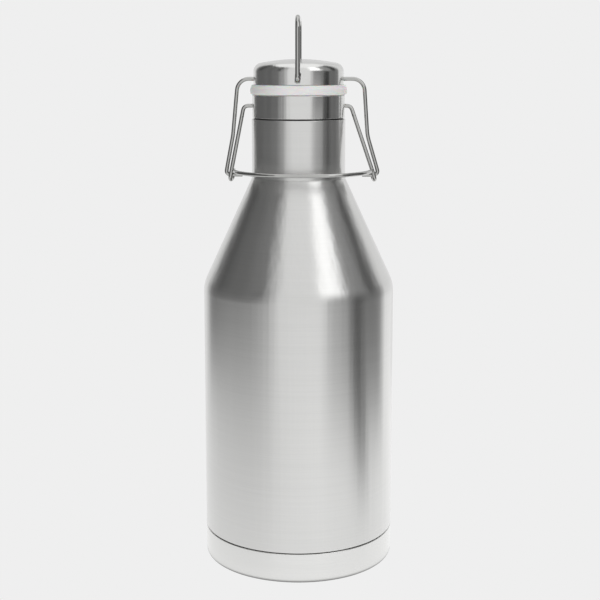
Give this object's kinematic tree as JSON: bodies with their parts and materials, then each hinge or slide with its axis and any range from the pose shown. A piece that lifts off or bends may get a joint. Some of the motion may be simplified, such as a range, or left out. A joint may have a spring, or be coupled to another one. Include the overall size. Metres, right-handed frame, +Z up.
{
  "type": "growler",
  "caption": "Double-walled steel growler with a swing-top lid on a wire bail, a thumb lever, a screw-on pouring collar and a wire carry loop.",
  "frame": {"origin": "centre of the face the bottle stands on", "axes": "+Z up along the bottle's axis, -Y the front with the thumb bar, +X to the right seen from the front"},
  "size_m": [0.12, 0.12, 0.3433],
  "materials": {
    "brushed_steel": "brushed round the axis",
    "lid_steel": "brushed round the side, satin crown",
    "inner_steel": "satin, electropolished",
    "foil": "bright foil",
    "seal_metal": "cast bead",
    "getter_grey": "sintered",
    "black_rubber": "matte",
    "black_plastic": "fine moulded",
    "foam": "rigid foam",
    "silicone": "frosted translucent white",
    "polished_wire": "polished stainless wire"
  },
  "bodies": {
    "bottle": {"outer_shell": "brushed_steel", "base_cup": "brushed_steel", "shell_bottom": "inner_steel", "vent_seal": "seal_metal", "getter": "getter_grey", "getter_clip": "inner_steel", "inner_flask": "inner_steel", "foil_wrap": "foil", "mouth_ring": "inner_steel"},
    "seal": {"neck_seal": "black_rubber"},
    "collar": {"spout_insert": "black_plastic", "collar_band": "brushed_steel"},
    "lever": {"lever_wire": "polished_wire"},
    "bail": {"bail_wire": "polished_wire"},
    "lid": {"lid_shell": "lid_steel", "lid_core": "black_plastic", "lid_insulation": "foam", "lid_plug": "black_plastic", "lid_gasket": "silicone"},
    "handle": {"handle_wire": "polished_wire"}
  },
  "joints": [
    {"name": "collar_lift", "type": "slide", "parent": "bottle", "child": "seal", "axis": [0, 0, 1], "range_m": [0, 0.00801]},
    {"name": "collar_turn", "type": "hinge", "parent": "seal", "child": "collar", "pos_m": [0, 0, 0.2811], "axis": [0, 0, 1], "range_deg": [0, 720]},
    {"name": "lever_swing", "type": "hinge", "parent": "collar", "child": "lever", "pos_m": [0, 0, 0.2884], "axis": [-1, 0, 0], "range_deg": [0, 110]},
    {"name": "bail_swing", "type": "hinge", "parent": "lever", "child": "bail", "pos_m": [0, 0, 0.2454], "axis": [-1, 0, 0], "range_deg": [-35.3, 0]},
    {"name": "lid_tilt", "type": "hinge", "parent": "bail", "child": "lid", "pos_m": [0, 0, 0.305], "axis": [-1, 0, 0], "range_deg": [-74.9, 0]},
    {"name": "handle_tilt", "type": "hinge", "parent": "lid", "child": "handle", "pos_m": [0, 0, 0.305], "axis": [0, 1, 0], "range_deg": [-84, 84]}
  ],
  "couplings": [
    {"joint": "collar_lift", "follows": "collar_turn", "m_per_rad": 0.00063662},
    {"joint": "bail_swing", "follows": "lever_swing", "ratio": -0.32},
    {"joint": "lid_tilt", "follows": "lever_swing", "ratio": -0.68}
  ]
}
